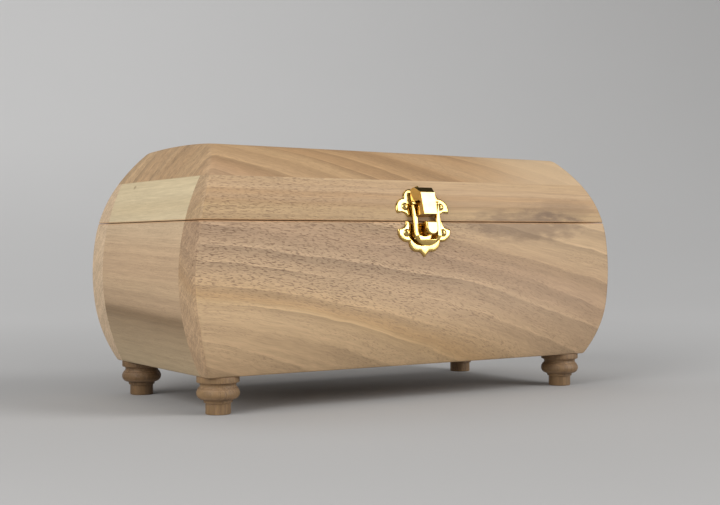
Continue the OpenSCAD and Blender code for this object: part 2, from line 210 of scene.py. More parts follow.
def cut(bm, *cutters, operation="DIFFERENCE"):
    """Takes the cutters away from a mesh, or joins them to it, and returns the new mesh."""
    def as_object(source):
        mesh = bpy.data.meshes.new("working")
        source.to_mesh(mesh)
        source.free()
        obj = bpy.data.objects.new("working", mesh)
        bpy.context.scene.collection.objects.link(obj)
        return obj
    target = as_object(bm)
    tools = [as_object(cutter) for cutter in cutters]
    for tool in tools:
        modifier = target.modifiers.new("cut", "BOOLEAN")
        modifier.operation = operation
        modifier.solver = "EXACT"
        modifier.object = tool
    evaluated = target.evaluated_get(bpy.context.evaluated_depsgraph_get())
    result = bmesh.new()
    result.from_mesh(evaluated.to_mesh())
    for obj in (target, *tools):
        mesh = obj.data
        bpy.data.objects.remove(obj)
        bpy.data.meshes.remove(mesh)
    return result


# ---- boards ----

def eased_levels(z0, z1, ease_low, ease_high):
    """Heights of a board's sections, each with how far its outside is drawn in by the eased edges."""
    def quarter(edge, ease, direction):
        turns = [math.pi / 2 * k / EASE_STEPS for k in range(EASE_STEPS)] if ease else []
        return [(edge + direction * ease * (1 - math.cos(t)), ease * (1 - math.sin(t))) for t in turns]
    low, high = quarter(z0, ease_low, 1), quarter(z1, ease_high, -1)
    start, end = z0 + ease_low, z1 - ease_high
    count = math.ceil((end - start) / LEVEL_STEP)
    middle = [(start + (end - start) * k / count, 0) for k in range(count + 1)]
    return low + middle + high[::-1]


def long_section(side, z, inset):
    """Outline of a front or back board at a height: side is -1 for the front and 1 for the back."""
    a, b = half_length_at(z) - inset, half_depth_at(z) - inset
    inner = INNER_DEPTH + inset / 2
    r = corner_radius(z)
    points = [(a, inner)] + arc(a - r, b - r, r, 0, 90, CORNER_STEPS)
    points += arc(r - a, b - r, r, 90, 180, CORNER_STEPS) + [(-a, inner)]
    return [(side * x, side * y, z) for x, y in points]


def end_section(side, z, inset):
    """Outline of an end board at a height: side is -1 for the left and 1 for the right."""
    a, inner = half_length_at(z) - inset, INNER_LENGTH + inset / 2
    points = [(inner, -INNER_DEPTH), (a, -INNER_DEPTH), (a, INNER_DEPTH), (inner, INNER_DEPTH)]
    return [(side * x, side * y, z) for x, y in points]


def whole_section(z, inset):
    """Outline of the whole body at a height, with points along its two ends."""
    a, b, r = half_length_at(z) - inset, half_depth_at(z) - inset, corner_radius(z)
    half = arc(a - r, b - r, r, 0, 90, CORNER_STEPS) + arc(r - a, b - r, r, 90, 180, CORNER_STEPS)
    half += [(-a, (b - r) * (1 - 2 * k / END_POINTS)) for k in range(1, END_POINTS)]
    return [(side * x, side * y, z) for side in (1, -1) for x, y in half]


def crown(x, y):
    """Height of the top, which is slightly domed across its depth and falls towards the right."""
    drop = CROWN_RADIUS - math.sqrt(CROWN_RADIUS ** 2 - y ** 2)
    return TOP_MIDDLE - x * math.tan(TOP_FALL) - drop / math.cos(TOP_FALL)


def top_board():
    """The thick board that closes the lid: its sides follow the body and its top is slightly domed."""
    count = len(whole_section(LID_FLOOR, 0))

    def edge_height(i, inset):
        z = TOP_MIDDLE
        for _ in range(8):
            x, y, _ = whole_section(z, inset)[i]
            z = crown(x, y)
        return z

    def ring(share, drop, inset):
        heights = [LID_FLOOR + (edge_height(i, inset) - drop - LID_FLOOR) * share for i in range(count)]
        return [whole_section(z, inset)[i] for i, z in enumerate(heights)]
    steps = math.ceil((TOP_MIDDLE - LID_FLOOR) / LEVEL_STEP)
    sections = [ring(k / steps, TOP_EASE, 0) for k in range(steps + 1)]
    for k in range(1, EASE_STEPS + 1):
        turn = math.pi / 2 * k / EASE_STEPS
        sections.append(ring(1, TOP_EASE * (1 - math.sin(turn)), TOP_EASE * (1 - math.cos(turn))))
    edge = sections[-1]
    for k in range(1, END_POINTS):
        share = 1 - k / END_POINTS
        sections.append([(x * share, y * share, crown(x * share, y * share)) for x, y, z in edge])
    return loft(sections, top=(0, 0, TOP_MIDDLE))


def board(section, side, z0, z1, ease_low=0, ease_high=0):
    """Board between two heights, with its outline from long_section or end_section."""
    return loft([section(side, z, inset) for z, inset in eased_levels(z0, z1, ease_low, ease_high)])


def hinge_mortises(z0, z1):
    """Cutters for the two shallow seats of the hinge leaves."""
    cutters = []
    for side in ("left", "right"):
        low, high = corners(f"{side}_hinge_box_leaf")
        cutters.append(box_mesh((low.x, low.y, z0), (high.x, HALF_DEPTH + 5, z1)))
    return cutters


def tenon_holes():
    """Cutters for the blind holes of the feet."""
    cutters = []
    for name in FEET:
        low, high = corners(name)
        start = FOOT_HEIGHT - 1
        bm = lathe([(0, start), (FOOT_TENON, start), (FOOT_TENON, high.z), (0, high.z)], 48)
        bmesh.ops.translate(bm, vec=((low.x + high.x) / 2, (low.y + high.y) / 2, 0), verts=bm.verts)
        cutters.append(bm)
    return cutters


# ---- feet ----

FEET = ["foot_front_left", "foot_front_right", "foot_back_left", "foot_back_right"]
FOOT_TENON = 3.95
FOOT_BASE = 5.9
FOOT_BASE_TOP = 5.2
FOOT_BEAD = (7.05, 9.85, 3.05)
FOOT_COVE = (9.9, 13.55, 1.5)
FOOT_NECK = 9.3
FOOT_COLLAR = 10
FOOT_COLLAR_LOW = 14.8


def foot_profile(top):
    """Turned outline of a foot, from the floor up to the end of its tenon."""
    bead_x, bead_z, bead_r = FOOT_BEAD
    cove_x, cove_z, cove_r = FOOT_COVE
    meet = math.degrees(math.acos((FOOT_NECK - bead_x) / bead_r))
    cove_meet = math.degrees(math.acos((cove_x - FOOT_NECK) / cove_r))
    points = [(0, 0)] + arc(FOOT_BASE - 0.5, 0.5, 0.5, -90, 0, 4)
    points += arc(FOOT_BASE + 0.55, FOOT_BASE_TOP - 0.3, 0.55, 180, 100, 5)
    points += [(FOOT_BASE + 0.8, FOOT_BASE_TOP + 0.3)]
    points += arc(bead_x, bead_z, bead_r, -95, meet, 20)
    points += arc(cove_x, cove_z, cove_r, 180 + cove_meet, 180 - cove_meet * 0.72, 12)
    points += arc(FOOT_COLLAR - 0.35, FOOT_COLLAR_LOW + 0.35, 0.35, -80, 0, 4)
    points += arc(FOOT_COLLAR - 0.35, FOOT_HEIGHT - 0.35, 0.35, 0, 90, 4)
    points += [(FOOT_TENON, FOOT_HEIGHT), (FOOT_TENON, top - 0.4), (FOOT_TENON - 0.4, top), (0, top)]
    return points


def make_feet(material, painted_shade_wood):
    """Four turned feet; the one at the back left gets a darker copy of the same wood, a painted shade
    for the box's shade on it.
    """
    for name in FEET:
        low, high = corners(name)
        wood_here = painted_shade_wood if low.x < 0 < low.y else material
        bm = lathe(foot_profile(high.z))
        bmesh.ops.translate(bm, vec=((low.x + high.x) / 2, (low.y + high.y) / 2, 0), verts=bm.verts)
        new_piece("turned_" + name, bm, "box", "walnut_feet", wood_here, name, sharp=50)


# ---- latch outlines, as signed distances that are negative inside ----

def circle(x, z, cx, cz, radius):
    return math.hypot(x - cx, z - cz) - radius


def rectangle(x, z, x0, x1, z0, z1):
    dx, dz = max(x0 - x, x - x1), max(z0 - z, z - z1)
    return math.hypot(max(dx, 0), max(dz, 0)) + min(max(dx, dz), 0)


def join(a, b, blend=0.7):
    """Union of two distances with its inner corners rounded."""
    h = max(blend - abs(a - b), 0) / blend
    return min(a, b) - h * h * blend / 4


def lid_plate_outline(x, z):
    """Crown-shaped plate: two shoulders, two ears and a small finial."""
    x = abs(x)
    d = join(circle(x, z, 5.2, 3.1, 5.3), circle(x, z, 10.3, -2.3, 5.6))
    d = min(d, rectangle(x, z, -1, 9.8, -6.2, 2.8))
    d = join(d, rectangle(x, z, -1, 2.6, 3, 7.6))
    d = join(d, circle(x, z, 0, 8.3, 1.1), 1.6)
    d = join(d, circle(x, z, 0, 9.4, 1.0), 0.5)
    return max(d, -circle(x, z, 13.1, -7.6, 3.6), -6.2 - z)


def box_plate_outline(x, z):
    """Shield-shaped plate: two eared sides, two lower lobes and a point."""
    x = abs(x)
    d = join(circle(x, z, 10.7, -1.9, 5.2), circle(x, z, 4.6, -7.2, 4.8))
    d = min(d, rectangle(x, z, -1, 10.7, -6, 2.4))
    d = min(d, rectangle(x, z, -1, 4.6, -11, -5))
    point = max(rectangle(x, z, -1, 4, -14.6, -10), (x - 0.75) * 0.72 + (-14 - z) * 0.69)
    d = join(d, point, 1.2)
    return max(d, -circle(x, z, 15, 3.3, 4), -rectangle(x, z, -1, 9, 1.8, 9))


def reach(outline, centre, angle, inset):
    """Distance from a centre, along an angle, to the edge of an outline drawn in by an inset."""
    c, s = math.cos(angle), math.sin(angle)
    far = 22.0
    while outline(c * far, centre + s * far) > -inset and far > 0.3:
        far -= 0.2
    near_edge, outside = far, far + 0.2
    for _ in range(12):
        middle = (near_edge + outside) / 2
        if outline(c * middle, centre + s * middle) > -inset:
            outside = middle
        else:
            near_edge = middle
    return near_edge


def pressed_plate(outline, centre, place):
    """Thin pressed plate with rolled edges: place() puts a point (x, up, out) on the wood."""
    spokes, rolls, inner_rings = 288, 7, 9
    angles = [2 * math.pi * k / spokes for k in range(spokes)]
    bm = bmesh.new()

    def ring(radii, out):
        return [bm.verts.new(place(r * math.cos(a), centre + r * math.sin(a), out))
                for r, a in zip(radii, angles)]

    edge = [reach(outline, centre, a, 0) for a in angles]
    rings = [ring(edge, 0)]
    for k in range(rolls + 1):
        turn = math.pi / 2 * k / rolls
        inset = PLATE_ROLL * (1 - math.cos(turn))
        out = PLATE_EDGE + (PLATE_THICKNESS - PLATE_EDGE) * math.sin(turn)
        radii = [reach(outline, centre, a, inset) for a in angles] if k else edge
        rings.append(ring(radii, out))
    for k in range(1, inner_rings):
        rings.append(ring([r * (1 - k / inner_rings) for r in radii], PLATE_THICKNESS))
    for low, high in zip(rings, rings[1:]):
        for i in range(spokes):
            j = (i + 1) % spokes
            bm.faces.new((low[i], low[j], high[j], high[i]))
    front = bm.verts.new(place(0, centre, PLATE_THICKNESS))
    back_rings = [rings[0]] + [ring([r * share for r in edge], 0) for share in (0.66, 0.33)]
    for low, high in zip(back_rings, back_rings[1:]):
        for i in range(spokes):
            j = (i + 1) % spokes
            bm.faces.new((low[j], low[i], high[i], high[j]))
    back = bm.verts.new(place(0, centre, 0))
    for i in range(spokes):
        j = (i + 1) % spokes
        bm.faces.new((rings[-1][i], rings[-1][j], front))
        bm.faces.new((back_rings[-1][j], back_rings[-1][i], back))
    return bm


def rounded_slab(outline, centre, low, high, roll, place):
    """Solid slab between two distances out, with its front edge rounded."""
    spokes, steps, rolls, inner_rings = 128, 6, 6, 5
    angles = [2 * math.pi * k / spokes for k in range(spokes)]

    def ring(inset, out, share=1.0):
        radii = [reach(outline, centre, a, inset) * share for a in angles]
        return [place(r * math.cos(a), centre + r * math.sin(a), out) for r, a in zip(radii, angles)]
    sections = [ring(0, low + (high - roll - low) * k / steps) for k in range(steps)]
    for k in range(rolls + 1):
        turn = math.pi / 2 * k / rolls
        sections.append(ring(roll * (1 - math.cos(turn)), high - roll * (1 - math.sin(turn))))
    sections += [ring(roll, high, 1 - k / inner_rings) for k in range(1, inner_rings)]
    return loft(sections, bottom=place(0, centre, low), top=place(0, centre, high))


def nose_outline(x, z):
    """Straight-sided hook with a round lower end."""
    sides = rectangle(x, z, -NOSE_HALF, NOSE_HALF, NOSE_ROUND, NOSE_TOP + 1)
    return max(min(sides, circle(x, z, 0, NOSE_ROUND, NOSE_HALF)), z - NOSE_TOP)


def nose_mesh():
    """Hook on the box plate. Its lower end keeps within the arc that the hasp swings on."""
    plane = leaning_plane(HASP_LEAN, half_depth_at(SEAM), SEAM)

    def place(x, up, out):
        arc_out = HASP_PIN_OUT + math.sqrt(max(NOSE_REACH ** 2 - (HASP_PIN_UP - up) ** 2, 0))
        return plane @ Vector((x, min(out, arc_out), up))
    return rounded_slab(nose_outline, NOSE_ROUND, NOSE_BACK, NOSE_FRONT, NOSE_ROLL, place)


def on_wood(lean):
    """Returns the function that bends a plate's points round the shoulder of the front."""
    def place(x, up, out):
        angle = lean + up / SHOULDER_RADIUS
        below = min(angle, 0) * SHOULDER_RADIUS
        angle = max(angle, 0)
        radius = SHOULDER_RADIUS + out
        depth = HALF_DEPTH - SHOULDER_RADIUS + radius * math.cos(angle)
        return (x, -depth, SHOULDER_START + radius * math.sin(angle) + below)
    return place


def leaning_plane(lean, depth, height):
    """Matrix of a leaning plane: X across, Y out of the box and Z up along the lean."""
    outward = Matrix.Scale(-1, 4, (0, 1, 0))
    return Matrix.Translation((0, -depth, height)) @ Matrix.Rotation(-lean, 4, "X") @ outward


def tangent_plane(lean):
    """The leaning plane that touches the shoulder of the front."""
    depth = HALF_DEPTH - SHOULDER_RADIUS + SHOULDER_RADIUS * math.cos(lean)
    return leaning_plane(lean, depth, SHOULDER_START + SHOULDER_RADIUS * math.sin(lean))


# ---- screws ----

SCREW_TIP = -8.5
SHANK_END = -6.9
SHANK_RADIUS = 0.75
SLOT_HALF = 0.15
SLOT_DEPTH = 0.25


def dome_screw(turn):
    """Round-headed slotted screw with its head's underside at z = 0, pointing along -Z."""
    sphere = (DOME_RADIUS ** 2 + DOME_HEIGHT ** 2) / (2 * DOME_HEIGHT)
    half_angle = math.degrees(math.asin(DOME_RADIUS / sphere))
    dome = arc(0, DOME_HEIGHT - sphere, sphere, 90 - half_angle + 3, 90, 14)
    profile = [(0, SCREW_TIP), (0.25, SCREW_TIP + 0.3), (SHANK_RADIUS, SHANK_END), (SHANK_RADIUS, 0)]
    profile += [(DOME_RADIUS - 0.1, 0)] + dome[:-1] + [(0, DOME_HEIGHT)]
    slot = box_mesh((-3, -SLOT_HALF, DOME_HEIGHT - SLOT_DEPTH), (3, SLOT_HALF, DOME_HEIGHT + 1))
    bm = cut(lathe(profile, 48), slot)
    bmesh.ops.rotate(bm, matrix=Matrix.Rotation(math.radians(turn), 3, "Z"), verts=bm.verts)
    return bm


def merge(meshes):
    """Puts several meshes into one."""
    result = bmesh.new()
    for bm in meshes:
        mesh = bpy.data.meshes.new("working")
        bm.to_mesh(mesh)
        bm.free()
        result.from_mesh(mesh)
        bpy.data.meshes.remove(mesh)
    return result


def plate_screws(lean, place, turns):
    """Both screws of a plate, at (distance across, height) in its leaning plane."""
    x, up = place
    screws = []
    for side, turn in zip((-1, 1), turns):
        bm = dome_screw(turn)
        seat = Matrix.Translation((side * x, PLATE_THICKNESS, up))
        seat = seat @ Matrix.Rotation(math.radians(-90), 4, "X")
        bmesh.ops.transform(bm, matrix=tangent_plane(lean) @ seat, verts=bm.verts)
        screws.append(bm)
    return merge(screws)


# ---- hasp ----

HASP_HALF = 8.2
HASP_BACK = 1.5
HASP_FRONT = 3.4
HASP_BELLY = -3
HASP_BELLY_RADIUS = 9.5
HASP_FRONT_EDGE = 0.5
HASP_BACK_EDGE = 0.4
WINDOW_HALF = 5.5
WINDOW_FLOOR = -9.3
WINDOW_CORNER = 2
SLOPE_START = -7.3
SLOPE = math.radians(18)
ARM_INNER = 7
TAPER_LOW = 1.2
TAPER_HIGH = 7
EYE_RADIUS = 1.35
EYE_EDGE = 0.3
ARM_STEPS = 24
BEND_STEPS = 48


def window(x, z):
    """Signed distance to the hasp's window below the pivot."""
    r = WINDOW_CORNER
    return rectangle(x, z, r - WINDOW_HALF, WINDOW_HALF - r, WINDOW_FLOOR + r, 20) - r


def hasp_pairs():
    """Points on the inner and the outer edge of the stirrup, from one eye round to the other."""
    def arm(z):
        share = min(max((z - TAPER_LOW) / (TAPER_HIGH - TAPER_LOW), 0), 1)
        return WINDOW_HALF + (ARM_INNER - WINDOW_HALF) * share
    heights = [HASP_PIN_UP + (HASP_BELLY - HASP_PIN_UP) * k / ARM_STEPS for k in range(ARM_STEPS)]
    side = [((-arm(z), z), (-HASP_HALF, z)) for z in heights]
    bottom = []
    tries = [0.02 * n for n in range(1000)]
    for k in range(BEND_STEPS + 1):
        angle = math.pi * (1 + k / BEND_STEPS)
        c, s = math.cos(angle), math.sin(angle)
        inner = next(r for r in tries if window(r * c, HASP_BELLY + r * s) > 0)
        outer = min(HASP_HALF / max(abs(c), 1e-6), HASP_BELLY_RADIUS)
        bottom.append(((inner * c, HASP_BELLY + inner * s), (outer * c, HASP_BELLY + outer * s)))
    other = [((-inner[0], inner[1]), (-outer[0], outer[1])) for inner, outer in reversed(side)]
    return side + bottom + other


def hasp_section(inner, outer):
    """Rounded section of the stirrup between its inner and outer edge."""
    width = math.dist(inner, outer)

    def at(s, front_share, behind):
        x = inner[0] + (outer[0] - inner[0]) * s / width
        z = inner[1] + (outer[1] - inner[1]) * s / width
        front = HASP_FRONT - max(SLOPE_START - z, 0) * math.tan(SLOPE)
        return (x, HASP_BACK + (front - HASP_BACK) * front_share + behind, z)
    lowest = HASP_FRONT - max(SLOPE_START - outer[1], 0) * math.tan(SLOPE) - HASP_BACK
    front_edge = min(HASP_FRONT_EDGE, lowest * 0.6, width * 0.45)
    back_edge = min(HASP_BACK_EDGE, lowest * 0.3)
    ring = []
    corners_round = ((back_edge, False, 0, 180), (back_edge, True, 0, 270),
                     (front_edge, True, 1, 0), (front_edge, False, 1, 90))
    for edge, at_outer, front_share, start in corners_round:
        middle = width - edge if at_outer else edge
        for x, y in arc(0, 0, edge, start, start + 90, 5):
            ring.append(at(middle + x, front_share, y - edge if front_share else y + edge))
    return ring


def disc(radius, length, edge):
    """Short cylinder about the X axis from x = 0, with rounded rims."""
    profile = [(0, 0)] + arc(radius - edge, edge, edge, -90, 0, 4)
    profile += arc(radius - edge, length - edge, edge, 0, 90, 4) + [(0, length)]
    bm = lathe(profile, 48)
    bmesh.ops.rotate(bm, matrix=Matrix.Rotation(math.pi / 2, 3, "Y"), verts=bm.verts)
    return bm


def hasp_mesh():
    """The stirrup with an eye at the end of each arm."""
    strip = loft([hasp_section(inner, outer) for inner, outer in hasp_pairs()])
    bmesh.ops.recalc_face_normals(strip, faces=strip.faces)
    eyes = []
    for x in (-HASP_HALF, ARM_INNER):
        eye = disc(EYE_RADIUS, HASP_HALF - ARM_INNER, EYE_EDGE)
        bmesh.ops.translate(eye, vec=(x, HASP_PIN_OUT, HASP_PIN_UP), verts=eye.verts)
        bmesh.ops.recalc_face_normals(eye, faces=eye.faces)
        eyes.append(eye)
    bm = cut(strip, *eyes, operation="UNION")
    bmesh.ops.transform(bm, matrix=leaning_plane(HASP_LEAN, half_depth_at(SEAM), SEAM), verts=bm.verts)
    return bm


# ---- shading ----

def srgb(*levels):
    """Linear colour from levels of 11 to 255."""
    return tuple(((v / 255 + 0.055) / 1.055) ** 2.4 for v in levels) + (1,)


class Field:
    """A number that varies over a surface: ordinary arithmetic on it adds math nodes."""

    def __init__(self, nodes, socket):
        self.nodes = nodes
        self.socket = socket

    def calc(self, operation, other=0.0, swap=False):
        node = self.nodes.tree.nodes.new("ShaderNodeMath")
        node.operation = operation
        first, second = (other, self) if swap else (self, other)
        self.nodes.feed(first, node.inputs[0])
        self.nodes.feed(second, node.inputs[1])
        return Field(self.nodes, node.outputs[0])

    def __add__(self, other):
        return self.calc("ADD", other)

    def __sub__(self, other):
        return self.calc("SUBTRACT", other)

    def __rsub__(self, other):
        return self.calc("SUBTRACT", other, swap=True)

    def __mul__(self, other):
        return self.calc("MULTIPLY", other)

    def __truediv__(self, other):
        return self.calc("DIVIDE", other)

    __radd__ = __add__
    __rmul__ = __mul__

    def power(self, exponent):
        return self.calc("POWER", exponent)

    def size(self):
        return self.calc("ABSOLUTE")

    def fraction(self):
        return self.calc("FRACT")

    def smooth(self, low, high):
        """0 below low, 1 above high and smooth between them; low may be the greater one."""
        node = self.nodes.tree.nodes.new("ShaderNodeMapRange")
        node.interpolation_type = "SMOOTHSTEP"
        flip = low > high
        self.nodes.feed(self, node.inputs["Value"])
        node.inputs["From Min"].default_value = min(low, high)
        node.inputs["From Max"].default_value = max(low, high)
        node.inputs["To Min"].default_value = 1.0 if flip else 0.0
        node.inputs["To Max"].default_value = 0.0 if flip else 1.0
        return Field(self.nodes, node.outputs["Result"])


class Shader:
    """One material and its nodes."""

    def __init__(self, name):
        self.material = bpy.data.materials.new(name)
        self.material.use_nodes = True
        self.tree = self.material.node_tree
        self.surface = self.tree.nodes["Principled BSDF"]

    def feed(self, value, socket):
        """Links a field or colour to a socket, or sets it to a constant."""
        if isinstance(value, Field):
            self.tree.links.new(value.socket, socket)
        elif isinstance(value, bpy.types.NodeSocket):
            self.tree.links.new(value, socket)
        elif isinstance(value, tuple):
            socket.default_value = value[:len(socket.default_value)]
        else:
            socket.default_value = value

    def position(self):
        """The three object coordinates of the surface in millimetres."""
        source = self.tree.nodes.new("ShaderNodeTexCoord")
        split = self.tree.nodes.new("ShaderNodeSeparateXYZ")
        self.tree.links.new(source.outputs["Object"], split.inputs[0])
        return [Field(self, output) / MM for output in split.outputs]

    def normal(self):
        """The three parts of the surface's normal in the object's frame."""
        source = self.tree.nodes.new("ShaderNodeTexCoord")
        split = self.tree.nodes.new("ShaderNodeSeparateXYZ")
        self.tree.links.new(source.outputs["Normal"], split.inputs[0])
        return [Field(self, output) for output in split.outputs]

    def noise(self, x, y, z, detail=2.0, roughness=0.5):
        """Soft noise, centred on 0 and mostly within 0.25 of it, one unit of the inputs across."""
        join_node = self.tree.nodes.new("ShaderNodeCombineXYZ")
        for value, socket in zip((x, y, z), join_node.inputs):
            self.feed(value, socket)
        node = self.tree.nodes.new("ShaderNodeTexNoise")
        node.inputs["Scale"].default_value = 1.0
        node.inputs["Detail"].default_value = detail
        node.inputs["Roughness"].default_value = roughness
        self.tree.links.new(join_node.outputs[0], node.inputs["Vector"])
        return Field(self, node.outputs[0]) - 0.5

    def ramp(self, value, low, high, stops):
        """Colour of a value between low and high, from (value, colour) stops."""
        node = self.tree.nodes.new("ShaderNodeValToRGB")
        ramp = node.color_ramp
        ramp.interpolation = "B_SPLINE"
        while len(ramp.elements) < len(stops):
            ramp.elements.new(1.0)
        for element, (place, colour) in zip(ramp.elements, stops):
            element.position = (place - low) / (high - low)
            element.color = srgb(*colour)
        self.feed((value - low) / (high - low), node.inputs["Fac"])
        return node.outputs["Color"]

    def mix(self, factor, a, b, blend="MIX"):
        """Two colours mixed by a field."""
        node = self.tree.nodes.new("ShaderNodeMix")
        node.data_type = "RGBA"
        node.blend_type = blend
        self.feed(factor, node.inputs[0])
        self.feed(a, node.inputs[6])
        self.feed(b, node.inputs[7])
        return node.outputs[2]

    def lighten(self, colour, amount):
        """Colour multiplied by 1 + amount, where amount is a field."""
        node = self.tree.nodes.new("ShaderNodeVectorMath")
        node.operation = "SCALE"
        self.feed(colour, node.inputs[0])
        self.feed(amount + 1.0, node.inputs["Scale"])
        return node.outputs[0]

    def bump(self, height, distance):
        node = self.tree.nodes.new("ShaderNodeBump")
        node.inputs["Distance"].default_value = distance * MM
        self.feed(height, node.inputs["Height"])
        self.tree.links.new(node.outputs[0], self.surface.inputs["Normal"])


# ---- wood ----

PORE = (128, 101, 80)
PALE_STREAK = (201, 176, 147)
STAIN = (122, 99, 80)
KNOT = (126, 104, 78)
# painted shade: colour of the shaded gap between lid and box
PAINTED_SEAM_SHADE = (176, 124, 74)
WARMTH = (1.0, 0.995, 0.945, 1.0)
FRONT_FACE = 63.5


def oval(a, b, middle, half):
    """Squared distance of (a, b) from the middle of an oval: 1 on its edge."""
    return ((a - middle[0]) / half[0]).power(2.0) + ((b - middle[1]) / half[1]).power(2.0)


def wood(name, axes, rings, stops, spacing=7.85, start=0.0, lines=1.0, pores=0.5, crowd=None,
         figure=1.0, end_tint=(150, 122, 98), end_share=0.45, end_bands=0.2, seed=0.0, shine=0.62,
         stain=False, pale=None, knot=None):
    """Bare walnut. axes orders the coordinates as along, across and through the board; rings() turns
    them into the distance in millimetres through the growth rings; stops are the colours by that
    distance. Late wood lies every spacing from start on. crowd() says where the pores crowd together
    and pale() where the wood is lighter. stain adds the brown stain right of the latch, and knot, the
    Y and Z of its middle, a small knot on the left."""
    s = Shader(name)
    place = s.position()
    facing = s.normal()
    along, across, through = (place[k] for k in axes)
    shifted = along + seed * 37.0
    drift = s.noise(shifted / 95, across / 34, through / 30, detail=1.0)
    wobble = s.noise(shifted / 24, across / 9, through / 9, detail=2.0)
    ring = rings(along, across, through) + drift * 6.0 * figure + wobble * 2.4 * figure
    colour = s.ramp(ring, stops[0][0], stops[-1][0], stops)

    # growth rings: each darkens slowly to a crisp line, and the next one starts light
    uneven = s.noise(ring / 14, shifted / 300, seed + 3.0, detail=1.0)
    turn = ((ring - start) / spacing + uneven * 1.3).fraction()
    force = s.noise(ring / 9, shifted / 130, seed, detail=1.0).smooth(-0.28, 0.2) * lines
    late = turn.smooth(0.25, 0.93) - turn.smooth(0.95, 1.0)
    early = turn.smooth(0.17, 0.0)
    bands = s.noise(ring / 3.4, shifted / 260, seed + 7.0, detail=3.0, roughness=0.62)
    lines_within = s.noise(ring / 1.25, shifted / 150, seed + 11.0, detail=2.0, roughness=0.6)
    colour = s.lighten(colour, early * force * 0.10 - late * force * 0.17 + bands * 0.26 * figure
                       + lines_within * 0.17)

    # fibres that follow the grain, and soft blotches stretched along it
    fibres = s.noise(shifted / 17, ring / 0.85, through / 1.3, detail=2.0, roughness=0.6)
    threads = s.noise(shifted / 8, ring / 0.36, through / 0.8, detail=1.0)
    blotch = s.noise(shifted / 46, ring / 6, through / 14, detail=2.0)
    colour = s.lighten(colour, fibres * 0.36 + threads * 0.22 + blotch * 0.14)

    # open pores: short dark flecks
    fleck = s.noise(shifted / 2.3 + ring / 2.6, ring / 0.42, through / 0.6, detail=1.0)
    coarse = s.noise(shifted / 4.6, ring / 0.6, through / 0.9, detail=1.0)
    patches = s.noise(shifted / 60, ring / 7, through / 40, detail=1.0)
    density = (patches + late * 0.12).smooth(-0.24, 0.26)
    if crowd:
        density = density * 0.45 + crowd(along, ring) * 0.75
    pits = (fleck.smooth(0.03, 0.19) * 0.8 + coarse.smooth(0.12, 0.28) * 0.5) * density * pores
    colour = s.mix(pits, colour, srgb(*PORE))

    if pale:
        colour = s.mix(pale(along, ring), colour, srgb(*PALE_STREAK))
    if stain:
        smear = s.noise(place[0] / 9, place[2] / 3.2, place[1] / 9, detail=3.0)
        below = oval(place[0], place[2] + place[0] * 0.01, (66.0, 88.5), (42, 9.0))
        above = oval(place[0], place[2], (92.0, 96.0), (24, 6.5))
        shade = (below + smear * 2.2).smooth(1.25, 0.1) * 0.6
        shade = shade + (above + smear * 1.6).smooth(1.3, 0.2) * 0.36
        colour = s.mix(shade, colour, srgb(*STAIN))

    # end grain has a tint of its own, with slanting rays and dots
    end = facing[axes[0]].size().smooth(0.38, 0.62)
    rays = s.noise(across / 5.0 - through / 4.0, through / 0.9 + across / 1.1, along / 50, detail=2.0)
    dots = s.noise(across / 0.85, through / 0.7, along / 20, detail=1.0)
    end_colour = s.mix(end_share, colour, srgb(*end_tint))
    broad = s.noise(across / 40 - through / 35, through / 5.5 + across / 6.6, along / 50, detail=2.0)
    streaks = rays * 0.85 + broad * end_bands + bands * 0.2
    end_colour = s.lighten(end_colour, streaks - dots.smooth(0.04, 0.2) * 0.22)
    colour = s.mix(end, colour, end_colour)
    if knot:
        dark = oval(place[1], place[2], knot, (1.5, 0.9)).smooth(1.8, 0.1)
        colour = s.mix(dark * place[0].smooth(0, -10) * 0.55, colour, srgb(*KNOT))

    # warmer throughout, and painted shade where the lid and the box meet: a browner, darker band for
    # the shaded gap between them
    colour = s.mix(1.0, colour, WARMTH, blend="MULTIPLY")
    seam_painted_shade = (place[2] - SEAM).size().smooth(0.9, 0.5)
    colour = s.mix(seam_painted_shade * 0.4, colour, srgb(*PAINTED_SEAM_SHADE))

    s.feed(colour, s.surface.inputs["Base Color"])
    s.feed(fibres * 0.10 - pits * 0.10 + wobble * 0.08 + shine, s.surface.inputs["Roughness"])
    s.surface.inputs["Specular IOR Level"].default_value = 0.3
    s.bump(fibres * 0.6 + threads * 0.3 - pits * 1.2 - end * dots * 0.6, 0.12)
    return s.material


def cathedral(x0, z0, stretch, slant):
    """Growth rings that show as nested half ellipses about a point low on one end of a board.
    slant is how much they shift with the depth from the bulge's widest place."""
    def rings(along, across, through):
        squares = ((along - x0) / stretch).power(2.0) + (across - z0).power(2.0)
        return squares.power(0.5) + (through.size() - FRONT_FACE) * slant
    return rings


def planes(along_share, across_share, through_share, shift=0.0):
    """Growth rings that cross a board as nearly flat planes."""
    def rings(along, across, through):
        return along * along_share + across * across_share + through * through_share + shift
    return rings


LENGTHWISE = (0, 2, 1)
CROSSWISE = (1, 2, 0)
FLAT = (0, 1, 2)
UPRIGHT = (2, 0, 1)

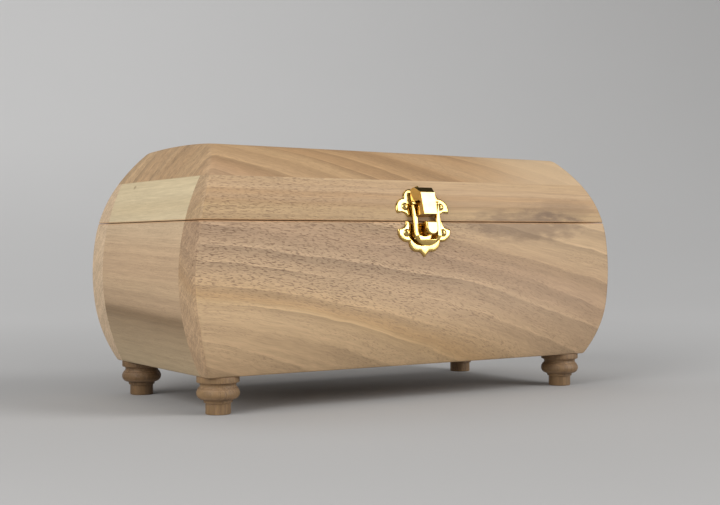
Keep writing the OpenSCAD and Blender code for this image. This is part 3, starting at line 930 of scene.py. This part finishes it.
FRONT_STOPS = [
    (10, (194, 164, 131)), (30, (194, 163, 130)), (38, (200, 170, 136)), (43, (190, 160, 127)),
    (48, (200, 170, 135)), (52, (192, 162, 128)), (55, (202, 171, 133)), (57, (186, 150, 109)),
    (61, (202, 170, 133)), (66, (191, 161, 130)), (71, (195, 165, 134)), (74, (181, 152, 124)),
    (78, (191, 162, 133)), (81, (177, 148, 121)), (86, (181, 151, 124)), (91, (175, 145, 116)),
    (95, (189, 159, 127)), (104, (193, 164, 131)), (120, (191, 161, 128)), (150, (187, 157, 124)),
]
LID_STOPS = [
    (80, (177, 147, 113)), (90, (179, 150, 115)), (93, (185, 156, 119)), (96, (167, 135, 101)),
    (98, (183, 154, 123)), (101, (173, 139, 103)), (103.5, (187, 159, 129)), (106, (181, 151, 119)),
    (110, (187, 159, 127)), (118, (177, 147, 113)),
]
TOP_STOPS = [
    (-70, (172, 142, 112)), (-45, (178, 148, 116)), (-36, (170, 140, 112)), (-28, (164, 130, 96)),
    (-24, (178, 148, 114)), (-17, (166, 134, 100)), (-12, (180, 150, 114)), (-6, (160, 126, 92)),
    (2, (174, 142, 106)), (10, (156, 122, 88)), (14, (182, 152, 118)), (24, (164, 130, 96)),
    (36, (176, 146, 112)), (50, (184, 156, 124)), (90, (174, 144, 110)),
]
SAPWOOD_STOPS = [
    (80, (196, 179, 148)), (92, (202, 185, 155)), (97, (190, 171, 139)), (102, (203, 187, 157)),
    (112, (195, 177, 145)),
]
END_STOPS = [
    (10, (180, 160, 132)), (24, (174, 153, 125)), (34, (162, 140, 113)), (41, (146, 124, 98)),
    (44.6, (122, 100, 76)), (47, (160, 135, 108)), (50, (180, 153, 125)), (54, (172, 146, 119)),
    (58, (190, 163, 133)), (64, (182, 154, 126)), (76, (188, 160, 131)), (84, (190, 165, 137)),
    (95, (194, 170, 142)),
]
FOOT_STOPS = [
    (-12, (138, 111, 80)), (-4, (124, 97, 68)), (2, (144, 117, 86)), (12, (126, 99, 70)),
]
# painted shade: the foot wood made darker, for the back left foot that lies in the box's shade
FOOT_PAINTED_SHADE_STOPS = [
    (-12, (112, 87, 60)), (-4, (98, 74, 50)), (2, (118, 92, 64)), (12, (100, 76, 52)),
]


# ---- brass ----

BRIGHT_BRASS = (0.62, 0.43, 0.14, 1)
DULL_BRASS = (0.54, 0.36, 0.115, 1)
BRASS_SPOTS = (0.30, 0.17, 0.05, 1)


def brass(name, roughness=0.13, tarnish=0.25):
    """Polished brass with faint scratches, a little tarnish and uneven polish."""
    s = Shader(name)
    x, y, z = s.position()
    cloud = s.noise(x / 3.5, y / 3.5, z / 3.5, detail=3.0)
    scratch = s.noise(x / 0.12 + z / 2.5, y / 0.5, z / 1.6, detail=2.0, roughness=0.6)
    spots = s.noise(x / 0.9, y / 0.9, z / 0.9, detail=2.0).smooth(0.16, 0.32)
    colour = s.mix(cloud.smooth(-0.2, 0.3), BRIGHT_BRASS, DULL_BRASS)
    colour = s.mix(spots * tarnish, colour, BRASS_SPOTS)
    s.feed(colour, s.surface.inputs["Base Color"])
    s.feed(cloud * 0.12 + scratch * 0.06 + spots * 0.10 + roughness, s.surface.inputs["Roughness"])
    s.surface.inputs["Metallic"].default_value = 1.0
    s.bump(scratch * 0.4 + cloud, 0.012)
    return s.material


# ---- carried-over CAD nodes ----

def finish_node(name, material, bevel, segments=3):
    """Rounds the edges of a CAD node with modifiers and gives it a material."""
    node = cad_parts[name]
    node.data.materials.clear()
    node.data.materials.append(material)
    weld = node.modifiers.new("weld", "WELD")
    weld.merge_threshold = 0.002 * MM
    round_edges = node.modifiers.new("round", "BEVEL")
    round_edges.width = bevel * MM
    round_edges.segments = segments
    round_edges.limit_method = "ANGLE"
    round_edges.angle_limit = math.radians(32)
    round_edges.use_clamp_overlap = True
    round_edges.harden_normals = False
    smooth = node.modifiers.new("normals", "WEIGHTED_NORMAL")
    smooth.keep_sharp = True


# ---- assembly ----

PALE_END = (198, 174, 148)
front_wood = wood(
    "walnut_front", LENGTHWISE, cathedral(-247, 5.8, 4.76, 0.5), FRONT_STOPS, start=-0.25, lines=1.4,
    pores=0.95, crowd=lambda along, ring: ring.smooth(56, 66) * along.smooth(80, -30), figure=0.8,
    seed=1, stain=True)
lid_wood = wood(
    "walnut_lid", LENGTHWISE, planes(0.012, 1, 0.35, 20), LID_STOPS, spacing=3.3, lines=0.7,
    pores=0.75, crowd=lambda along, ring: along.smooth(10, -90), figure=0.5,
    end_tint=(168, 143, 116), seed=2, stain=True)
back_wood = wood(
    "walnut_back", LENGTHWISE, cathedral(262, 12, 4.4, 0.5), FRONT_STOPS, pores=0.7,
    end_tint=PALE_END, end_share=0.8, seed=3)
lid_back_wood = wood(
    "walnut_lid_back", LENGTHWISE, planes(-0.02, 1, -0.35, 20), LID_STOPS, spacing=4.1, pores=0.5,
    figure=0.6, end_tint=PALE_END, end_share=0.8, seed=4)
top_wood = wood(
    "walnut_top", LENGTHWISE, planes(0.34, 0.42, 0.85), TOP_STOPS, spacing=8.9, start=-25.7, lines=1.3,
    pores=0.4, figure=0.55, end_tint=(178, 150, 120), end_bands=0.75, seed=5,
    pale=lambda along, ring: along.smooth(30, 85) * 0.55)
sap_wood = wood(
    "walnut_sap", CROSSWISE, planes(0.01, 1, 0), SAPWOOD_STOPS, spacing=5, lines=0.25, pores=0.12,
    figure=0.35, end_tint=(190, 168, 138), seed=6, knot=(27, 107.4))
end_wood = wood(
    "walnut_end", CROSSWISE, planes(-0.03, 1, 0), END_STOPS, spacing=4.3, lines=0.5, pores=0.3,
    figure=0.4, seed=7)
bottom_wood = wood("walnut_bottom", FLAT, cathedral(-160, -10, 3.2, 0), FRONT_STOPS, seed=8)
# the second, darker foot wood is painted shade for the back left foot
foot_wood, foot_painted_shade_wood = (
    wood(name, UPRIGHT, planes(0, 1, 0.6), stops, spacing=2.3, lines=1.2, pores=1.2, figure=0.4,
         seed=9, shine=0.55)
    for name, stops in (("walnut_foot", FOOT_STOPS), ("walnut_foot_painted_shade", FOOT_PAINTED_SHADE_STOPS)))
latch_brass = brass("polished_brass")
hinge_brass = brass("hinge_brass", roughness=0.24, tarnish=0.4)

bm = cut(board(long_section, -1, FOOT_HEIGHT, BOX_RIM, BOTTOM_EASE, RIM_EASE), *tenon_holes())
new_piece("box_front", bm, "box", "walnut_box_front", front_wood, "box_front_board")
bm = board(long_section, 1, FOOT_HEIGHT, BOX_RIM, BOTTOM_EASE, RIM_EASE)
bm = cut(bm, *tenon_holes(), *hinge_mortises(BOX_RIM - 1, BOX_RIM + 1))
new_piece("box_back", bm, "box", "walnut_box_front", back_wood, "box_back_board")
for side, name in ((-1, "box_left_end"), (1, "box_right_end")):
    bm = cut(board(end_section, side, FOOT_HEIGHT, BOX_RIM, BOTTOM_EASE, RIM_EASE), *tenon_holes())
    new_piece(name + "_grained", bm, "box", "walnut_box_end", end_wood, name)
bm = board(long_section, -1, LID_RIM, LID_FLOOR, RIM_EASE)
new_piece("lid_front", bm, "lid", "walnut_lid_front", lid_wood, "lid_front_board")
bm = board(long_section, 1, LID_RIM, LID_FLOOR, RIM_EASE)
bm = cut(bm, *hinge_mortises(LID_RIM - 1, LID_RIM + 1))
new_piece("lid_back", bm, "lid", "walnut_lid_front", lid_back_wood, "lid_back_board")
for side, name in ((-1, "lid_left_end"), (1, "lid_right_end")):
    bm = board(end_section, side, LID_RIM, LID_FLOOR, RIM_EASE)
    new_piece(name + "_grained", bm, "lid", "walnut_sapwood", sap_wood, name)
new_piece("lid_top", top_board(), "lid", "walnut_top", top_wood, "lid_top_board")
make_feet(foot_wood, foot_painted_shade_wood)

new_piece("pressed_lid_plate", pressed_plate(lid_plate_outline, 0, on_wood(LID_PLATE_LEAN)), "lid",
          "polished_brass", latch_brass, "latch_lid_plate", sharp=60)
new_piece("pressed_box_plate", pressed_plate(box_plate_outline, -4, on_wood(BOX_PLATE_LEAN)), "box",
          "polished_brass", latch_brass, "latch_box_plate", sharp=60)
new_piece("lid_plate_screws", plate_screws(LID_PLATE_LEAN, LID_SCREW, (35, -60)), "lid",
          "brass_fasteners", latch_brass, "latch_lid_screws")
new_piece("box_plate_screws", plate_screws(BOX_PLATE_LEAN, BOX_SCREW, (75, 20)), "box",
          "brass_fasteners", latch_brass, "latch_box_screws")
new_piece("hook_nose", nose_mesh(), "box", "polished_brass", latch_brass, "latch_nose", sharp=60)
new_piece("stirrup_hasp", hasp_mesh(), "hasp", "polished_brass", latch_brass, "latch_hasp")

finish_node("latch_block", latch_brass, 0.35)
finish_node("latch_hasp_pin", latch_brass, 0.2)
finish_node("bottom_board", bottom_wood, 0.2, 2)
for side in ("left", "right"):
    finish_node(f"{side}_hinge_box_leaf", hinge_brass, 0.15, 2)
    finish_node(f"{side}_hinge_lid_leaf", hinge_brass, 0.15, 2)
    finish_node(f"{side}_hinge_pin", hinge_brass, 0.2, 2)
finish_node("hinge_box_screws", hinge_brass, 0.08, 2)
finish_node("hinge_lid_screws", hinge_brass, 0.08, 2)


# ---- studio ----

STAGE_FLOOR = 650
STAGE_SWEEP = 1600
STAGE_TOP = 3000
PAPER = (171, 170, 169)
AHEAD = (0.54, 0.84)


def backdrop_paper():
    """Pale matt paper with painted light: it glows a little, more behind the box and to the left of it.
    High up at the back right it is painted darker and glows less, a painted shade that darkens what the
    brass reflects.
    """
    s = Shader("backdrop_paper")
    x, y, z = s.position()
    behind = x * AHEAD[0] + y * AHEAD[1]
    left = y * AHEAD[0] - x * AHEAD[1]
    leftward = left.smooth(-1500, 900)
    outward = (x * x + y * y).power(0.5)
    # painted shade: the paper is darker and glows less high up at the back right
    painted_dark_corner = z.smooth(1100, 1600) * (x * 0.8 + y * 0.6).smooth(0, 1000)
    # painted light: the paper's own glow, brighter to the left and behind the box, less near it
    glow = z.smooth(-60, 300) * (leftward * 0.14 - 0.035)
    glow = glow + outward.smooth(180, 750) * (leftward * 0.08 + 0.06)
    glow = glow + behind.smooth(-20, 130) * 0.055 + outward.smooth(100, 190) * 0.03
    glow = (glow + z.smooth(700, 1300) * 0.08) * (1.0 - left.smooth(900, 1700) * 0.85)
    shade = s.noise(x / 180, y / 180, z / 180, detail=2.0) * 0.04 - painted_dark_corner * 0.85
    light = s.lighten((1, 1, 1, 1), glow * (1.0 - painted_dark_corner * 0.9) - 1.0)
    s.feed(s.lighten(srgb(*PAPER), shade), s.surface.inputs["Base Color"])
    s.feed(light, s.surface.inputs["Emission Color"])
    s.surface.inputs["Emission Strength"].default_value = 1.0
    s.surface.inputs["Roughness"].default_value = 0.9
    s.surface.inputs["Specular IOR Level"].default_value = 0.1
    return s.material


def make_stage():
    """Round seamless backdrop: a flat floor that curves up into a wall."""
    outline = [(STAGE_FLOOR * k / 6, 0) for k in range(7)]
    outline += arc(STAGE_FLOOR, STAGE_SWEEP, STAGE_SWEEP, -90, 0, 24)[1:]
    outline += [(STAGE_FLOOR + STAGE_SWEEP, STAGE_TOP)]
    bm = lathe(outline, 128)
    bmesh.ops.scale(bm, vec=(MM, MM, MM), verts=bm.verts)
    mesh = bpy.data.meshes.new("backdrop")
    bm.to_mesh(mesh)
    bm.free()
    mesh.shade_smooth()
    mesh.materials.append(backdrop_paper())
    backdrop = bpy.data.objects.new("backdrop", mesh)
    bpy.context.scene.collection.objects.link(backdrop)


def softbox(name, place, target, size, power, only_gloss=False):
    """Rectangular soft light aimed at a point, in metres. One that is only for gloss shows in
    reflections and lights nothing."""
    light = bpy.data.lights.new(name, "AREA")
    light.shape = "RECTANGLE"
    light.size, light.size_y = size
    light.energy = power
    obj = bpy.data.objects.new(name, light)
    obj.location = Vector(place)
    obj.rotation_mode = "QUATERNION"
    obj.rotation_quaternion = (Vector(target) - Vector(place)).to_track_quat("-Z", "Y")
    obj.visible_camera = False
    obj.visible_diffuse = not only_gloss
    bpy.context.scene.collection.objects.link(obj)


def make_lights():
    """Four soft panels and a plain white surrounding."""
    middle = (0, 0, 0.06)
    softbox("front", (0.62, -0.92, 0.79), (0, 0, 0.79), (0.56, 1.02), 12.6)
    softbox("front_low", (0.62, -0.92, 0.19), (0, 0, 0.19), (0.56, 0.30), 5.2, only_gloss=True)
    softbox("left", (-1.0, -0.35, 0.6), middle, (0.7, 0.8), 9.5)
    softbox("overhead", (-0.2, 0.5, 1.7), middle, (1.0, 0.8), 3)
    world = bpy.data.worlds.new("studio")
    bpy.context.scene.world = world
    world.use_nodes = True
    background = world.node_tree.nodes["Background"]
    background.inputs["Color"].default_value = (1, 1, 1, 1)
    background.inputs["Strength"].default_value = 0.3


CAMERA_TURNS = (32.536, -0.459, 0.185)
CAMERA_PLACE = (-356.5, -563.1, 79.1)
CAMERA_LENS = 61.8


def make_camera():
    """Camera at the left front of the box, just under the height of its top."""
    yaw, pitch, roll = (math.radians(turn) for turn in CAMERA_TURNS)
    place = Vector(CAMERA_PLACE) * MM
    data = bpy.data.cameras.new("camera")
    data.sensor_width = 36
    data.lens = CAMERA_LENS
    data.clip_start, data.clip_end = 0.01, 20
    camera = bpy.data.objects.new("camera", data)
    ahead = Vector((math.sin(yaw) * math.cos(pitch), math.cos(yaw) * math.cos(pitch), math.sin(pitch)))
    turn = ahead.to_track_quat("-Z", "Y").to_matrix() @ Matrix.Rotation(-roll, 3, "Z")
    camera.matrix_world = Matrix.Translation(place) @ turn.to_4x4()
    bpy.context.scene.collection.objects.link(camera)
    bpy.context.scene.camera = camera


make_stage()
make_lights()
make_camera()
bpy.context.scene.view_settings.view_transform = "Standard"
